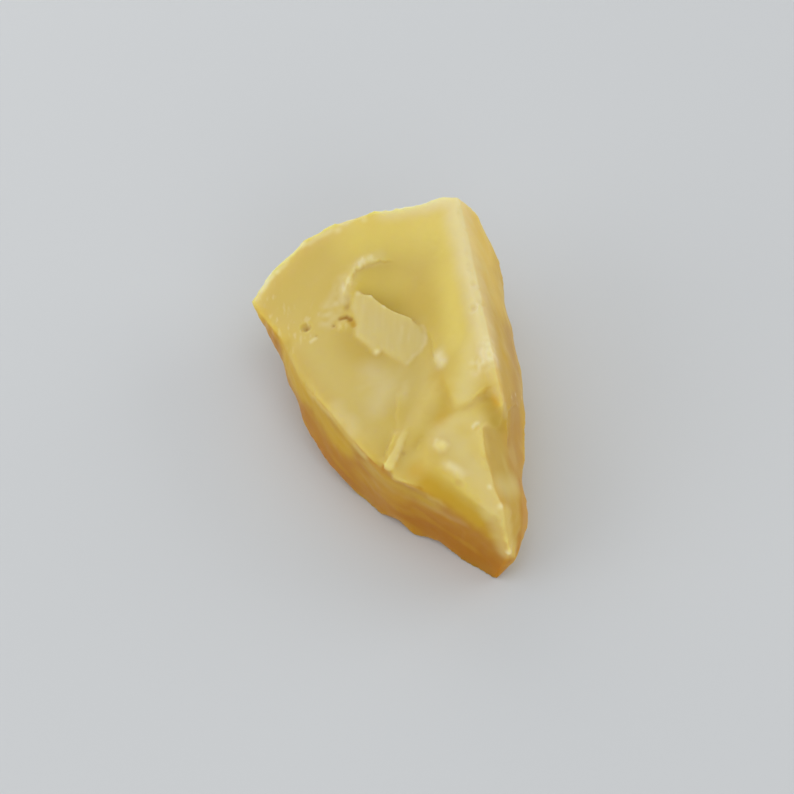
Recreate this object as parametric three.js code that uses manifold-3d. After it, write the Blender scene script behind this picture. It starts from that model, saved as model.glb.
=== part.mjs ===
// A piece of rough yellow opal, lying on its flattest fracture face. Millimetres, +Z up.
// +Y runs along the stone from its pointed tail to its broad back, and the origin is on the
// resting face, under the middle of the stone.
//
// The stone is broken on every side. Each fracture face is given as a ring of named corners,
// counter-clockwise as seen from outside, and by how far its middle is hollowed by the break.
// The ridges between the faces are then worn a little and made to wander. What stands on the
// top, a flake, a splinter and a button, is joined on, and the pits and chips are cut out.
import * as THREE from "three";
import Module from "manifold-3d";
import { ConvexGeometry } from "three/addons/geometries/ConvexGeometry.js";
import { ImprovedNoise } from "three/addons/math/ImprovedNoise.js";
import { TessellateModifier } from "three/addons/modifiers/TessellateModifier.js";
import { mergeVertices } from "three/addons/utils/BufferGeometryUtils.js";

const FACET = 1.7; // longest edge of the triangles on a fracture face
const FACET_CUTS = 12; // most rounds of halving those edges
const FILM_ROUNDS = 60; // rounds in which a face's surface settles between its ridges
const DEEP_REACH = 5; // how far an off-centre hollow spreads
const WEAR_REACH = 2.6; // how far from a worn ridge the stone is rounded
const WEAR_ROUNDS = 5;
const WEAR_PULL = 0.6; // how far one round draws a point towards the middle of its neighbours
const WANDER = 0.22; // how far the surface wanders in and out
const WANDER_PITCH = 6; // distance between its swells
const WANDER_Y = 31; // offsets in the noise that keep the wandering in x, y and z apart
const WANDER_Z = 47;
const SETTLE = 2; // height over the resting face in which that fades out
const PLATE = 1.6; // how deep the flake and the splinter are rooted in the stone
const BACK_SHARE = 0.85; // width of the splinter's back, as a share of its foot
const WELD = 1e-3; // points closer than this are one
const OPAL = { color: 0xcdb65c, roughness: 0.35, metalness: 0 };

// The corners of the fracture faces.
const corner = {
  // the rim, where the top meets the back
  leftTip: [-14.5, 18.5, 9],
  rimA: [-10.5, 21.5, 10.5],
  rimB: [-6.5, 23, 12],
  rimC: [0, 23.5, 14],
  rimD: [8, 21, 15.3],
  rimE: [10, 20.5, 16.1],
  summit: [12, 19.1, 17.5],
  // the crest, the long ridge on the right, and the fang that it ends in
  crestA: [10.4, 14.5, 18],
  crestB: [8.5, 5.3, 18.5],
  crestC: [7, -1, 18.5],
  crestD: [6.2, -5.5, 18],
  crestE: [6, -8.7, 16.3],
  fang: [5.5, -12.2, 14.8],
  // the widest line of the right side, down to the tail
  sideA: [13.9, 17.8, 14.4],
  sideB: [14.5, 12, 11.6],
  sideC: [13.4, 6, 10.5],
  sideD: [11.9, -0.5, 9.5],
  sideE: [11.1, -5.5, 8.5],
  sideF: [8.8, -11, 7.5],
  sideG: [6.7, -16.5, 7],
  sideH: [5.6, -19.8, 4],
  tail: [2.8, -23.3, 3],
  // the widest line of the left side, running down to the resting face
  hipA: [-13.8, 15, 7.5],
  hipB: [-13.3, 10, 6],
  hipC: [-13.8, 5.3, 4.5],
  hipD: [-13, 0.3, 3],
  hipE: [-11.7, -4.7, 1.5],
  hipF: [-9.5, -7.5, 0],
  heelA: [-7.7, -12.3, 0],
  heelB: [-3.9, -16.6, 0],
  heelC: [0.5, -23.1, 0],
  // the ledge, where the top meets the left flank
  ledgeA: [-13, 10, 10],
  ledgeB: [-13, 3.5, 10],
  ledgeC: [-12, -0.5, 10.5],
  ledgeD: [-10.5, -5, 10.5],
  ledgeE: [-9.5, -9, 10],
  ledgeF: [-8.5, -12, 9.5],
  // the brow over the front, and the belt half way down it
  browA: [-4.5, -13.5, 12],
  browB: [-2.5, -16.5, 12],
  browC: [-1, -19, 11],
  browD: [0.5, -21, 10],
  browE: [1.5, -22.5, 8],
  toe: [2, -23.5, 5],
  beltA: [-5.5, -14.5, 9],
  beltB: [-3, -17.5, 8.5],
  beltC: [-0.5, -20.5, 6.5],
  // the shelf near the tail
  shelfA: [-2.5, -10, 12.5],
  shelfB: [-0.5, -9.5, 13],
  shelfC: [3.5, -10, 14.2],
  shelfD: [2, -14.5, 13],
  shelfE: [1.5, -17, 12.5],
  shelfF: [1.5, -19, 11],
  shelfG: [2, -21, 10],
  // the gully between the bank and the shelf
  gullyA: [1.5, -7.6, 12.7],
  gullyB: [3.3, -8.5, 13.9],
  gullyC: [5.5, -9.5, 15],
  gullyD: [-2.5, -9, 11.5],
  gullyE: [-5, -11, 10.5],
  // the bank, and the rib that runs down from it
  bankA: [2.5, 3.5, 12],
  bankC: [0.5, -4.5, 12.6],
  bankF: [5.3, -0.5, 15.3],
  ribA: [-2, -6.5, 11.5],
  ribB: [-5, -10, 11],
  // the fan of low ridges in the middle, and the pit and the nick beside it
  fanA: [-1, 1, 11.5],
  fanB: [-3.5, -3, 11],
  fanC: [-5.5, -8, 10.5],
  fanD: [-7.5, -11.5, 9.5],
  pit: [-5.5, 9, 11.5],
  nick: [-2, 15.5, 12.5],
  // the back, half way down
  backA: [-11.5, 17.5, 4.5],
  backB: [-3.5, 22.5, 7],
  backC: [5, 21.5, 7.5],
  backD: [12.5, 17.5, 8],
  // the edge of the resting face
  footA: [-11.2, -2.2, 0],
  footB: [-10, 6, 0],
  footC: [-7, 14, 0],
  footD: [0, 18, 0],
  footE: [8, 16, 0],
  footF: [11, 9, 0],
  footG: [9.5, -1, 0],
  footH: [7, -9, 0],
  footI: [4.5, -17, 0],
  footJ: [2.3, -22, 0],
};

// Where the hollow in the top is deepest.
const bowlFloor = [1.5, 10, 11];

// The fracture faces: a ring of corners, the depth of the hollow, and where it is deepest if that
// isn't the middle.
const faces = [
  // top
  ["leftTip ledgeA pit nick rimC rimB rimA", 0.3],
  ["ledgeA ledgeB ledgeC ledgeD ledgeE ledgeF fanD fanC fanB fanA pit", 0.2],
  [
    "nick pit fanA bankA bankF crestD crestC crestB crestA summit rimE rimD rimC",
    2.5,
    bowlFloor,
  ],
  ["bankA bankC gullyA gullyB gullyC crestE crestD bankF", -0.2],
  ["bankA fanA fanB fanC ribB ribA bankC", 0.4],
  ["fanC fanD gullyE ribB", 0],
  ["bankC ribA ribB gullyE gullyD gullyA", 0],
  ["gullyD gullyE browA shelfA", 0],
  ["gullyA gullyD shelfA shelfB", 0],
  ["gullyA shelfB shelfC gullyB", 0],
  ["gullyB shelfC gullyC", 0],
  ["shelfB shelfA browA browB browC browD browE shelfG shelfF shelfE shelfD shelfC", 0.1],
  // front
  ["gullyE fanD ledgeF beltA browA", 0],
  ["browA beltA beltB browB", 0],
  ["browB beltB beltC browD browC", 0],
  ["browD beltC toe browE", 0],
  ["ledgeF heelA heelB beltB beltA", 0.4],
  ["beltB heelB heelC toe beltC", 0.3],
  ["toe heelC tail", 0],
  ["heelC footJ tail", 0],
  // left
  ["leftTip hipA hipB hipC ledgeB ledgeA", 0],
  ["hipC hipD hipE ledgeD ledgeC ledgeB", 0.2],
  ["hipE hipF heelA ledgeF ledgeE ledgeD", 0.2],
  ["footC footB hipC hipB hipA leftTip backA", 0.8],
  ["footB footA hipE hipD hipC", 0.4],
  ["footA hipF hipE", 0],
  // right
  ["summit crestA crestB sideC sideB sideA", -0.2],
  ["crestB crestC crestD crestE fang sideE sideD sideC", -0.2],
  ["gullyC fang crestE", 0],
  ["gullyC shelfC shelfD shelfE sideG sideF sideE fang", 0.5],
  ["shelfE shelfF shelfG sideH sideG", 0],
  ["shelfG browE toe tail sideH", 0],
  ["footF backD sideA sideB sideC", 0.6],
  ["footG footF sideC sideD sideE", 0.4],
  ["footH footG sideE sideF", 0.2],
  ["footI footH sideF sideG sideH", 0.2],
  ["footI sideH tail footJ", 0],
  // back
  ["backB backA leftTip rimA rimB", 0.5],
  ["backC backB rimB rimC", 0.2],
  ["backD backC rimC rimD rimE summit sideA", 0.8],
  ["footD footC backA backB", 0.7],
  ["footE footD backB backC", 0.4],
  ["footF footE backC backD", 0.6],
  // underneath
  [
    "heelC heelB heelA hipF footA footB footC footD footE footF footG footH footI footJ",
    0,
  ],
];

// Ridges that are worn round, and creases that are hardly there.
const wornRidges = [
  "crestA crestB crestC crestD",
  "rimC nick",
  "pit ledgeA",
  "pit fanA fanB fanC",
  "fanA bankA bankF",
  "bankC gullyA gullyD",
  "shelfA shelfB shelfC",
  "ledgeF heelA",
  "beltB heelB",
  "ledgeB hipC",
  "ledgeD hipE",
  "crestB sideC",
  "fang sideE",
  "shelfE sideG",
];

// The flake: its outline seen from above, and its upper face, a plane that rises with x and y.
const flake = [
  [-3.4, 12.6],
  [-1.7, 11.7],
  [-0.6, 9.1],
  [1.4, 6.9],
  [1.9, 5.3],
  [2, 3.6],
  [1.6, 2.6],
  [-1.3, 0.5],
  [-2.7, 2.7],
  [-3.2, 3.7],
  [-4.1, 3.4],
  [-4.5, 4.8],
  [-5.4, 6.9],
  [-4.6, 8.3],
  [-4.4, 10.8],
];
const flakeTop = { height: 11.7, riseX: 0.06, riseY: 0.06 };

// The splinter that stands on the top: both ends of its back, and its width.
const splinter = { from: [-5.2, -8.1, 11.1], to: [-8, -11.5, 10.3], width: 1.7 };

// Round hollows: pits in the top and chips out of the rim.
const hollows = [
  { at: [-5.4, 9.8, 11.8], radius: 0.55 },
  { at: [-7.1, 9.5, 11.2], radius: 0.3 },
  { at: [-10, 10.8, 10.7], radius: 0.3 },
  { at: [-8.2, 22.8, 11.6], radius: 0.45 },
  { at: [-4.4, 23.6, 12.6], radius: 0.45 },
  { at: [-12.7, 20.1, 9.9], radius: 0.4 },
  { at: [4.1, 22.8, 14.2], radius: 0.4 },
];

// The button on the shelf: a low round swelling with a dimple in it.
const button = { at: [-2.1, -12.3, 12.1], radius: 0.7, dimple: 0.35 };

function at(name) {
  return new THREE.Vector3(...corner[name]);
}

// Only position is kept, so that points that meet are welded into one.
function weld(geometry) {
  const bare = new THREE.BufferGeometry();
  bare.setAttribute("position", geometry.getAttribute("position"));
  if (geometry.index) bare.setIndex(geometry.index);
  return mergeVertices(bare, WELD);
}

// For each point of an indexed geometry, its neighbours, and the points on the open border.
function neighbourhood(geometry) {
  const near = Array.from({ length: geometry.attributes.position.count }, () => new Set());
  const uses = new Map();
  const index = geometry.index.array;
  for (let i = 0; i < index.length; i += 3) {
    for (let k = 0; k < 3; k++) {
      const a = index[i + k];
      const b = index[i + ((k + 1) % 3)];
      near[a].add(b);
      near[b].add(a);
      const edge = a < b ? `${a} ${b}` : `${b} ${a}`;
      uses.set(edge, (uses.get(edge) ?? 0) + 1);
    }
  }
  const border = new Set();
  for (const [edge, count] of uses) {
    if (count === 1) edge.split(" ").forEach((v) => border.add(Number(v)));
  }
  return { near, border };
}

function pointsOf(geometry) {
  const position = geometry.attributes.position;
  return Array.from({ length: position.count }, (_, i) =>
    new THREE.Vector3().fromBufferAttribute(position, i),
  );
}

function middleOf(points) {
  return points.reduce((sum, p) => sum.add(p), new THREE.Vector3()).divideScalar(points.length);
}

// One fracture face: cut fine, settled between its ridges like a soap film, then hollowed.
function fractureFace(ring, hollow, deepAt) {
  const rim = ring.map(at);
  const hub = middleOf(rim);
  const facing = new THREE.Vector3();
  const fan = [];
  rim.forEach((p, i) => {
    const next = rim[(i + 1) % rim.length];
    facing.add(p.clone().sub(hub).cross(next.clone().sub(hub)));
    fan.push(hub, p, next);
  });
  facing.normalize();
  const sheet = new THREE.BufferGeometry().setFromPoints(fan);
  const patch = weld(new TessellateModifier(FACET, FACET_CUTS).modify(sheet));
  const { near, border } = neighbourhood(patch);
  const spots = pointsOf(patch);
  const low = deepAt ? new THREE.Vector3(...deepAt) : hub;
  const load = spots.map((p) => (deepAt ? Math.exp(-p.distanceToSquared(low) / DEEP_REACH ** 2) : 1));
  const depth = spots.map(() => 0);
  for (let round = 0; round < FILM_ROUNDS; round++) {
    near.forEach((around, i) => {
      if (border.has(i)) return;
      const beside = [...around];
      spots[i].copy(middleOf(beside.map((j) => spots[j])));
      depth[i] = beside.reduce((sum, j) => sum + depth[j], 0) / beside.length + load[i];
    });
  }
  const deepest = Math.max(...depth) || 1;
  spots.forEach((p, i) => p.addScaledVector(facing, (-hollow * depth[i]) / deepest));
  patch.setFromPoints(spots);
  return patch.toNonIndexed();
}

// The whole skin of the stone, as one closed geometry.
function skin() {
  const all = [];
  for (const [ring, hollow, deepAt] of faces) {
    all.push(...fractureFace(ring.split(" "), hollow, deepAt).attributes.position.array);
  }
  const soup = new THREE.BufferGeometry();
  soup.setAttribute("position", new THREE.Float32BufferAttribute(all, 3));
  return weld(soup);
}

// How far each point is from the nearest worn ridge.
function distancesToWear(points) {
  const lines = wornRidges.flatMap((ridge) => {
    const names = ridge.split(" ");
    return names.slice(1).map((name, i) => new THREE.Line3(at(names[i]), at(name)));
  });
  const closest = new THREE.Vector3();
  return points.map((p) =>
    Math.min(...lines.map((l) => l.closestPointToPoint(p, true, closest).distanceTo(p))),
  );
}

// Rounds the worn ridges, by drawing each point near them towards the middle of its neighbours.
function wear(geometry) {
  const { near } = neighbourhood(geometry);
  let spots = pointsOf(geometry);
  const pull = distancesToWear(spots).map((d) => 1 - THREE.MathUtils.smoothstep(d, 0, WEAR_REACH));
  for (let round = 0; round < WEAR_ROUNDS; round++) {
    spots = spots.map((p, i) => {
      const middle = middleOf([...near[i]].map((j) => spots[j]));
      return p.clone().lerp(middle, pull[i] * WEAR_PULL);
    });
  }
  geometry.setFromPoints(spots);
}

// Lets the surface and its ridges wander, but keeps the resting face flat.
function wander(geometry) {
  const noise = new ImprovedNoise();
  const spots = pointsOf(geometry);
  for (const p of spots) {
    const [x, y, z] = p.clone().divideScalar(WANDER_PITCH).toArray();
    const push = new THREE.Vector3(
      noise.noise(x, y, z),
      noise.noise(x + WANDER_Y, y, z),
      noise.noise(x, y + WANDER_Z, z),
    );
    const free = THREE.MathUtils.smoothstep(p.z, 0, SETTLE);
    p.addScaledVector(push, WANDER * free);
  }
  geometry.setFromPoints(spots);
}

// The flake: a prism that stands on its outline, sheared so that its upper face slopes.
function flakeBody() {
  const outline = new THREE.Shape(flake.map(([x, y]) => new THREE.Vector2(x, y)));
  const body = new THREE.ExtrudeGeometry(outline, { depth: PLATE, bevelEnabled: false });
  const { height, riseX, riseY } = flakeTop;
  body.applyMatrix4(new THREE.Matrix4().makeShear(0, riseX, 0, riseY, 0, 0));
  return body.translate(0, 0, height - PLATE);
}

// The splinter: a long low wedge whose flat back runs from one end to the other.
function splinterBody({ from, to, width }) {
  const ends = [new THREE.Vector3(...from), new THREE.Vector3(...to)];
  const along = ends[1].clone().sub(ends[0]).normalize();
  const across = new THREE.Vector3(-along.y, along.x, 0).setLength(width / 2);
  const down = new THREE.Vector3(0, 0, -PLATE);
  const points = ends.flatMap((p) => [
    p.clone().addScaledVector(across, BACK_SHARE),
    p.clone().addScaledVector(across, -BACK_SHARE),
    p.clone().add(across).add(down),
    p.clone().sub(across).add(down),
  ]);
  return new ConvexGeometry(points);
}

function ball(place, radius) {
  return new THREE.IcosahedronGeometry(radius, 1).translate(...place);
}

const wasm = await Module();
wasm.setup();

function solid(geometry) {
  const tight = weld(geometry);
  return new wasm.Manifold(
    new wasm.Mesh({
      numProp: 3,
      vertProperties: tight.attributes.position.array,
      triVerts: Uint32Array.from(tight.index.array),
    }),
  );
}

function geometryOf(body) {
  const mesh = body.getMesh();
  const geometry = new THREE.BufferGeometry();
  geometry.setAttribute("position", new THREE.BufferAttribute(mesh.vertProperties, 3));
  geometry.setIndex(new THREE.BufferAttribute(mesh.triVerts, 1));
  geometry.computeVertexNormals();
  return geometry;
}

const outside = skin();
wear(outside);
wander(outside);

let body = solid(outside).add(solid(flakeBody()));
body = body.add(solid(splinterBody(splinter)));
body = body.add(solid(ball(button.at, button.radius)));
const dimple = button.at.with(2, button.at[2] + button.radius);
body = body.subtract(solid(ball(dimple, button.dimple)));
for (const { at: place, radius } of hollows) body = body.subtract(solid(ball(place, radius)));

const shape = geometryOf(body);
shape.computeBoundingBox();
const middle = shape.boundingBox.getCenter(new THREE.Vector3());
shape.translate(-middle.x, -middle.y, 0);

const stone = new THREE.Mesh(shape, new THREE.MeshStandardMaterial(OPAL));
stone.name = "opal_stone";

const part = new THREE.Group();
part.add(stone);
export default part;
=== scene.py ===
"""A rough yellow opal, dressed and lit.

The stone is one piece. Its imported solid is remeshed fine, its facets are smoothed between the
ridges, and the marks of the breaks are carved into it stroke by stroke. Carving works in
millimetres in the stone's own frame: +Y runs from the pointed tail to the broad back, +Z up, and
the origin is on the resting face. Blender's objects are in metres in that same frame.
"""

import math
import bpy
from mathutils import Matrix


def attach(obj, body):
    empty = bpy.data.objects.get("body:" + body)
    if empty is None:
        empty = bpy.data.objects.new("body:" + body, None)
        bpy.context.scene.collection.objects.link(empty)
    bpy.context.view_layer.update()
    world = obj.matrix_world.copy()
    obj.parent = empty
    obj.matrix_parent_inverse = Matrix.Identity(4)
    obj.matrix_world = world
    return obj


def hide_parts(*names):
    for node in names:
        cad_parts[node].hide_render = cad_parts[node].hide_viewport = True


bl_info = {
    "name": "Rough opal",
    "version": (1, 0, 0),
    "blender": (4, 5, 0),
    "location": "3D View > Sidebar > Opal",
    "description": "Dresses a rough yellow opal and lights it on a pale floor",
    "category": "Object",
}

import bmesh
import bpy
import numpy as np
from bpy.props import FloatProperty, FloatVectorProperty, IntProperty, PointerProperty
from mathutils import Vector, noise
from mathutils.kdtree import KDTree

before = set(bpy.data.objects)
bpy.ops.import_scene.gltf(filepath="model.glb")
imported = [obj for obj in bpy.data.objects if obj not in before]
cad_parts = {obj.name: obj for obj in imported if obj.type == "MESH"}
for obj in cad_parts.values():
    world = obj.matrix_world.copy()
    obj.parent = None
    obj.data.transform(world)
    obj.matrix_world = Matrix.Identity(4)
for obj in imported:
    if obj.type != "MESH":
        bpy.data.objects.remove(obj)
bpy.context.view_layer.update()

NODE = "opal_stone"
MM = 0.001  # Blender works in metres


# ---------------------------------------------------------------------------------------------
# What a user would change
# ---------------------------------------------------------------------------------------------


class OpalStoneSettings(bpy.types.PropertyGroup):
    grain: FloatProperty(
        name="Grain",
        description="Edge length of the fine mesh",
        default=0.21 * MM,
        min=0.15 * MM,
        unit="LENGTH",
        subtype="DISTANCE",
    )
    edge_wear: IntProperty(
        name="Edge wear",
        description="How many times all edges are rubbed down",
        default=3,
        min=0,
    )
    seed: IntProperty(
        name="Chip seed",
        description="Changes where the small chips fall along the edges",
        default=11,
    )


class OpalColourSettings(bpy.types.PropertyGroup):
    body: FloatVectorProperty(
        name="Body",
        description="Yellow of the broken faces",
        default=(0.665, 0.50, 0.125),
        subtype="COLOR",
    )
    # Honey is partly painted shade, laid in the hollows: the bowl, the valley, the trough and gully,
    # and under the brow and the ledge. As random clouds in the material it is the stone's own tone.
    honey: FloatVectorProperty(
        name="Honey",
        description="Clear deeper yellow in the hollows of the top",
        default=(0.635, 0.46, 0.08),
        subtype="COLOR",
    )
    # Milk is mostly the frosted faces' own colour. On the rim, at the crest's end, along the shelf's
    # thin lower edge and round the tail it is painted light.
    milk: FloatVectorProperty(
        name="Milk",
        description="Cloudy yellow of the frosted faces",
        default=(0.695, 0.565, 0.21),
        subtype="COLOR",
    )
    # Pale is partly painted light: the glow of the thin rim, the sheen along the crest, and the lighter
    # bank and shelf. Elsewhere it is frosted or crushed stone.
    pale: FloatVectorProperty(
        name="Pale",
        description="Milky yellow of the thin rim and the crest",
        default=(0.765, 0.67, 0.41),
        subtype="COLOR",
    )
    # Lemon is mostly painted light: it brightens the top near the summit, beside the crushed edge, on
    # the bank and on the shelf. The splinter and the button take it as their own yellow.
    lemon: FloatVectorProperty(
        name="Lemon",
        description="Bright yellow where light comes through the stone near the summit",
        default=(0.80, 0.66, 0.17),
        subtype="COLOR",
    )
    # Gold is partly painted shade: under the brow, in the trough and the gully, below the crest on the
    # right and down the left flank. In the veins and by the pits it is the stone's own colour.
    gold: FloatVectorProperty(
        name="Gold",
        description="Clear gold under the brow and along the ledge",
        default=(0.61, 0.375, 0.02),
        subtype="COLOR",
    )
    # Amber and ember are partly the stone's deeper colour low down and partly painted shade on the low
    # sides and at the foot of the front.
    amber: FloatVectorProperty(
        name="Amber",
        description="Brown gold low on the left flank and the front",
        default=(0.46, 0.185, 0.003),
        subtype="COLOR",
    )
    ember: FloatVectorProperty(
        name="Ember",
        description="Redder brown low on the front",
        default=(0.40, 0.14, 0.002),
        subtype="COLOR",
    )
    # Sun is painted light: the right side near the summit is made lighter and warmer, as if lit.
    sun: FloatVectorProperty(
        name="Sun",
        description="Light warm yellow of the right side near the summit",
        default=(0.73, 0.50, 0.09),
        subtype="COLOR",
    )
    # Tan is partly painted: the right side's duller, warmer tone stands in for its shade and for warm
    # light thrown back onto it.
    tan: FloatVectorProperty(
        name="Tan",
        description="Warm dull yellow of the right side",
        default=(0.545, 0.32, 0.026),
        subtype="COLOR",
    )
    # Rose is painted shade with a warm reflection in it, down the right side in front of the fang.
    rose: FloatVectorProperty(
        name="Rose",
        description="Brownish band down the right side, in front of the fang",
        default=(0.49, 0.27, 0.045),
        subtype="COLOR",
    )
    # Olive is painted shade beside the shelf, under the flake's lower edge and in the notch.
    olive: FloatVectorProperty(
        name="Olive",
        description="Shaded dull yellow of the face beside the shelf",
        default=(0.52, 0.335, 0.038),
        subtype="COLOR",
    )
    stain: FloatVectorProperty(
        name="Stain",
        description="Brown of the pits",
        default=(0.43, 0.19, 0.008),
        subtype="COLOR",
    )
    # Crumb is partly the whitish colour of crushed stone and partly painted glints: the small bright
    # points on the rim, the bank's top, the shelf and the flake's front edge are painted with it.
    crumb_and_glint: FloatVectorProperty(
        name="Crumb",
        description="Whitish yellow where the stone is crushed",
        default=(0.88, 0.81, 0.60),
        subtype="COLOR",
    )
    glow_depth: FloatProperty(
        name="Glow depth",
        description="How far light travels in the stone before it comes out again",
        default=2.5 * MM,
        unit="LENGTH",
        subtype="DISTANCE",
    )


class OpalStudioSettings(bpy.types.PropertyGroup):
    azimuth: FloatProperty(
        name="Azimuth",
        description="Where the camera stands round the stone",
        default=math.radians(-20),
        subtype="ANGLE",
    )
    elevation: FloatProperty(
        name="Elevation",
        description="How steeply the camera looks down",
        default=math.radians(50),
        subtype="ANGLE",
    )
    distance: FloatProperty(
        name="Distance",
        description="From the camera to the point it looks at",
        default=262.6 * MM,
        unit="LENGTH",
        subtype="DISTANCE",
    )
    lens: FloatProperty(
        name="Lens",
        description="Focal length of the camera, in millimetres",
        default=100,
    )
    power: FloatProperty(
        name="Power",
        description="Power of all the soft lamps together",
        default=2.0,
        unit="POWER",
    )
    lamp_size: FloatProperty(
        name="Lamp size",
        description="Width of each square lamp",
        default=0.3,
        unit="LENGTH",
        subtype="DISTANCE",
    )
    lamp_distance: FloatProperty(
        name="Lamp distance",
        description="From each lamp to the stone",
        default=0.42,
        unit="LENGTH",
        subtype="DISTANCE",
    )
    sky: FloatProperty(
        name="Sky",
        description="Strength of the even light from all round",
        default=0.54,
    )
    floor: FloatVectorProperty(
        name="Floor",
        description="Colour of the floor",
        default=(0.62, 0.63, 0.64),
        subtype="COLOR",
    )


# ---------------------------------------------------------------------------------------------
# Shader maths
# ---------------------------------------------------------------------------------------------


class Wire:
    """A socket in a node tree. Arithmetic on it adds Math nodes."""

    def __init__(self, tree, socket):
        self.tree = tree
        self.socket = socket

    def _math(self, operation, *values):
        return self.tree.add("ShaderNodeMath", {"operation": operation}, *values)

    def __add__(self, other):
        return self._math("ADD", self, other)

    __radd__ = __add__

    def __mul__(self, other):
        return self._math("MULTIPLY", self, other)

    __rmul__ = __mul__


class Tree:
    """A material's node tree, with one method that adds any node."""

    def __init__(self, name):
        self.material = bpy.data.materials.new(name)
        self.material.use_nodes = True
        self.nodes = self.material.node_tree.nodes
        self.links = self.material.node_tree.links
        self.nodes.clear()

    def add(self, kind, settings=None, *values, out=None, **named):
        """Adds a node, sets it, feeds its sockets in order or by name, and gives one output."""
        node = self.nodes.new(kind)
        for key, value in (settings or {}).items():
            setattr(node, key, value)
        sockets = [s for s in node.inputs if s.enabled]
        for socket, value in zip(sockets, values):
            self._feed(socket, value)
        for key, value in named.items():
            self._feed(node.inputs[key.replace("_", " ")], value)
        outputs = {s.name: s for s in node.outputs if s.enabled}
        if not outputs:
            return None
        return Wire(self, outputs[out] if out else next(iter(outputs.values())))

    def _feed(self, socket, value):
        if isinstance(value, Wire):
            self.links.new(value.socket, socket)
        elif hasattr(socket.default_value, "__len__") and len(socket.default_value) == 4:
            socket.default_value = (*value[:3], 1)
        else:
            socket.default_value = value

    def mix(self, share, first, second):
        """From the first colour to the second as the share goes from 0 to 1."""
        return self.add("ShaderNodeMix", {"data_type": "RGBA"}, share, first, second)

    def between(self, value, low, high):
        """0 below low, 1 above high, smooth between them."""
        settings = {"interpolation_type": "SMOOTHSTEP"}
        return self.add("ShaderNodeMapRange", settings, value, low, high)

    def mark(self, name):
        """What the carving wrote on the points of the mesh."""
        return self.add("ShaderNodeAttribute", {"attribute_name": name}, out="Fac")

    def noise(self, place, pitch, detail, rough=0.5):
        """Cloudy noise from 0 to 1 whose swells are about a pitch apart."""
        return self.add(
            "ShaderNodeTexNoise",
            None,
            Vector=place,
            Scale=1 / pitch,
            Detail=detail,
            Roughness=rough,
            out="Fac",
        )


# ---------------------------------------------------------------------------------------------
# The stone's surface as arrays
# ---------------------------------------------------------------------------------------------


PATH_STEP = 0.5  # distance between the points of a path once it lies on the skin
WOBBLE_SEED = 1  # keeps the wobble of the paths the same in every run


def smoothstep(low, high, value):
    t = np.clip((value - low) / (high - low), 0, 1)
    return t * t * (3 - 2 * t)


def faded(share, taper):
    """1 along a path, falling to 0 over the taper at either end."""
    if taper == 0:
        return np.ones(len(share))
    return smoothstep(0, taper, share) * smoothstep(1, 1 - taper, share)


def tree_of(points):
    tree = KDTree(len(points))
    for i, point in enumerate(points):
        tree.insert(point, i)
    tree.balance()
    return tree


def swell(points, pitch, seed=0.0):
    """Smooth noise from -1 to 1 at each point, with swells about a pitch apart."""
    drift = Vector((seed, 2 * seed, 3 * seed))
    return np.array([noise.noise(Vector(p) / pitch + drift) for p in points])


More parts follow.
